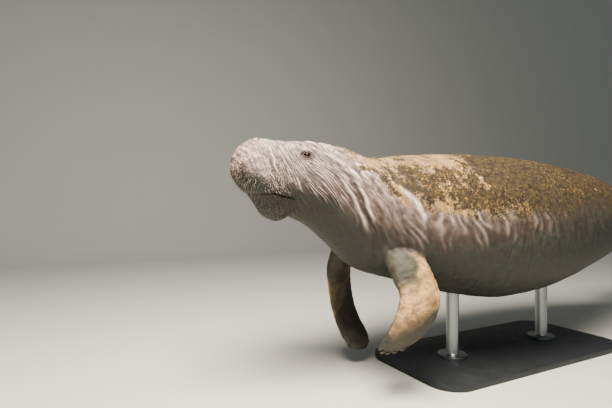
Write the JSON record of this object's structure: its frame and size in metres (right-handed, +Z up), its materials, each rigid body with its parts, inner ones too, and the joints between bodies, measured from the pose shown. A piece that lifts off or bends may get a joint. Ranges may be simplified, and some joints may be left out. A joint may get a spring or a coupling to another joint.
{
  "type": "manatee",
  "caption": "Still, life-size manatee with hanging flippers and a round paddle tail, held over a flat base by two short rods.",
  "frame": {"origin": "middle of the underside of the display stand's base, on the floor", "axes": "-X the way the animal swims, -Y its left side, +Z up"},
  "size_m": [2.9994, 0.6698, 0.9122],
  "materials": {
    "head_skin": "wrinkled matt hide with pits and short bristles",
    "body_skin": "wrinkled matt hide",
    "algae_skin": "matt hide with patches of brown and olive algae",
    "flipper_skin": "wrinkled matt hide",
    "eye": "wet, glossy, dark brown",
    "nail": "satin horn",
    "stand_plate": "satin dark grey paint",
    "stand_rod": "brushed"
  },
  "bodies": {
    "root": {"muzzle": "head_skin", "lower_jaw": "head_skin", "head": "head_skin", "eye_left": "eye", "eye_right": "eye", "neck": "body_skin", "chest": "body_skin", "trunk": "algae_skin", "loin": "algae_skin", "tail_stock": "body_skin", "tail_paddle": "body_skin", "flipper_left": "flipper_skin", "nail_left_1": "nail", "nail_left_2": "nail", "nail_left_3": "nail", "nail_left_4": "nail", "flipper_right": "flipper_skin", "nail_right_1": "nail", "nail_right_2": "nail", "nail_right_3": "nail", "nail_right_4": "nail", "stand_base": "stand_plate", "stand_rod_front": "stand_rod", "stand_rod_rear": "stand_rod"}
  },
  "joints": []
}
